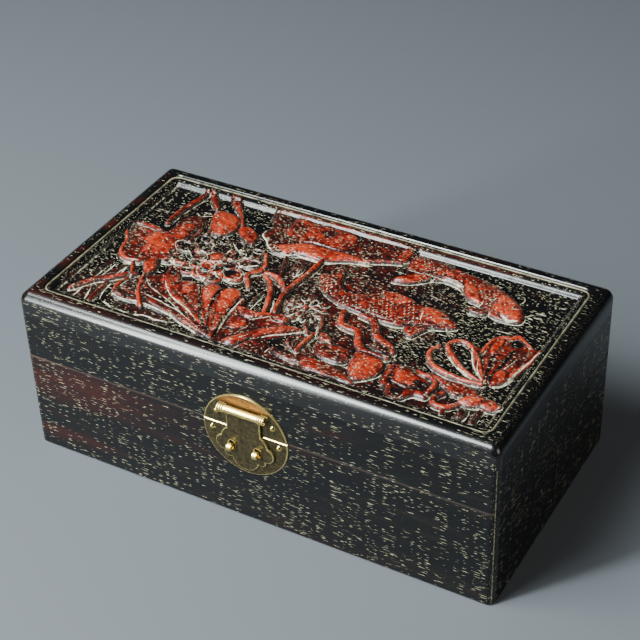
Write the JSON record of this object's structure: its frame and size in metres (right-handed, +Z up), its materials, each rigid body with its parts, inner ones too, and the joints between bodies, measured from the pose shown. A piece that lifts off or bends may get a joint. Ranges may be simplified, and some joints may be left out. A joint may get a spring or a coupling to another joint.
{
  "type": "ink stick and stone box",
  "caption": "Dark hardwood box for an ink stone and ink sticks: hinged lid with a sunk carved top, divided felt-lined inside, and a round brass hasp that folds over lock posts.",
  "frame": {"origin": "middle of the underside of the box", "axes": "+Z up, +X along the length to the right seen from the front, front face with the hasp towards -Y, hinges towards +Y"},
  "size_m": [0.25, 0.1435, 0.092],
  "materials": {
    "dark_hardwood": "near-black open-pored hardwood, pores filled with pale paste, rubbed satin",
    "carved_hardwood": "the same hardwood carved in relief, high parts rubbed orange-red, lines filled with pale paste",
    "aged_brass": "aged brass, dark in the flats and bright along the edges",
    "bay_felt": "wool felt"
  },
  "bodies": {
    "base": {"base_front_board": "dark_hardwood", "base_back_board": "dark_hardwood", "base_left_board": "dark_hardwood", "base_right_board": "dark_hardwood", "base_floor_panel": "dark_hardwood", "bay_divider": "dark_hardwood", "stone_bay_lining": "bay_felt", "stick_bay_lining": "bay_felt", "hasp_lower_plate": "aged_brass", "lock_post_left": "aged_brass", "lock_post_right": "aged_brass", "lower_plate_nails": "aged_brass", "left_hinge_base_leaf": "aged_brass", "left_hinge_pin": "aged_brass", "left_hinge_base_screws": "aged_brass", "right_hinge_base_leaf": "aged_brass", "right_hinge_pin": "aged_brass", "right_hinge_base_screws": "aged_brass"},
    "lid": {"lid_front_board": "dark_hardwood", "lid_back_board": "dark_hardwood", "lid_left_board": "dark_hardwood", "lid_right_board": "dark_hardwood", "lid_carved_plank": "carved_hardwood", "hasp_upper_plate": "aged_brass", "hasp_pin": "aged_brass", "upper_plate_nails": "aged_brass", "left_hinge_lid_leaf": "aged_brass", "left_hinge_lid_screws": "aged_brass", "right_hinge_lid_leaf": "aged_brass", "right_hinge_lid_screws": "aged_brass"},
    "hasp": {"hasp_flap": "aged_brass"}
  },
  "joints": [
    {"name": "lid_hinge", "type": "hinge", "parent": "base", "child": "lid", "pos_m": [0, 0.0684, 0.0552], "axis": [-1, 0, 0], "range_deg": [0, 100]},
    {"name": "hasp_hinge", "type": "hinge", "parent": "lid", "child": "hasp", "pos_m": [0, -0.06885, 0.0667], "axis": [-1, 0, 0], "range_deg": [0, 188]}
  ]
}
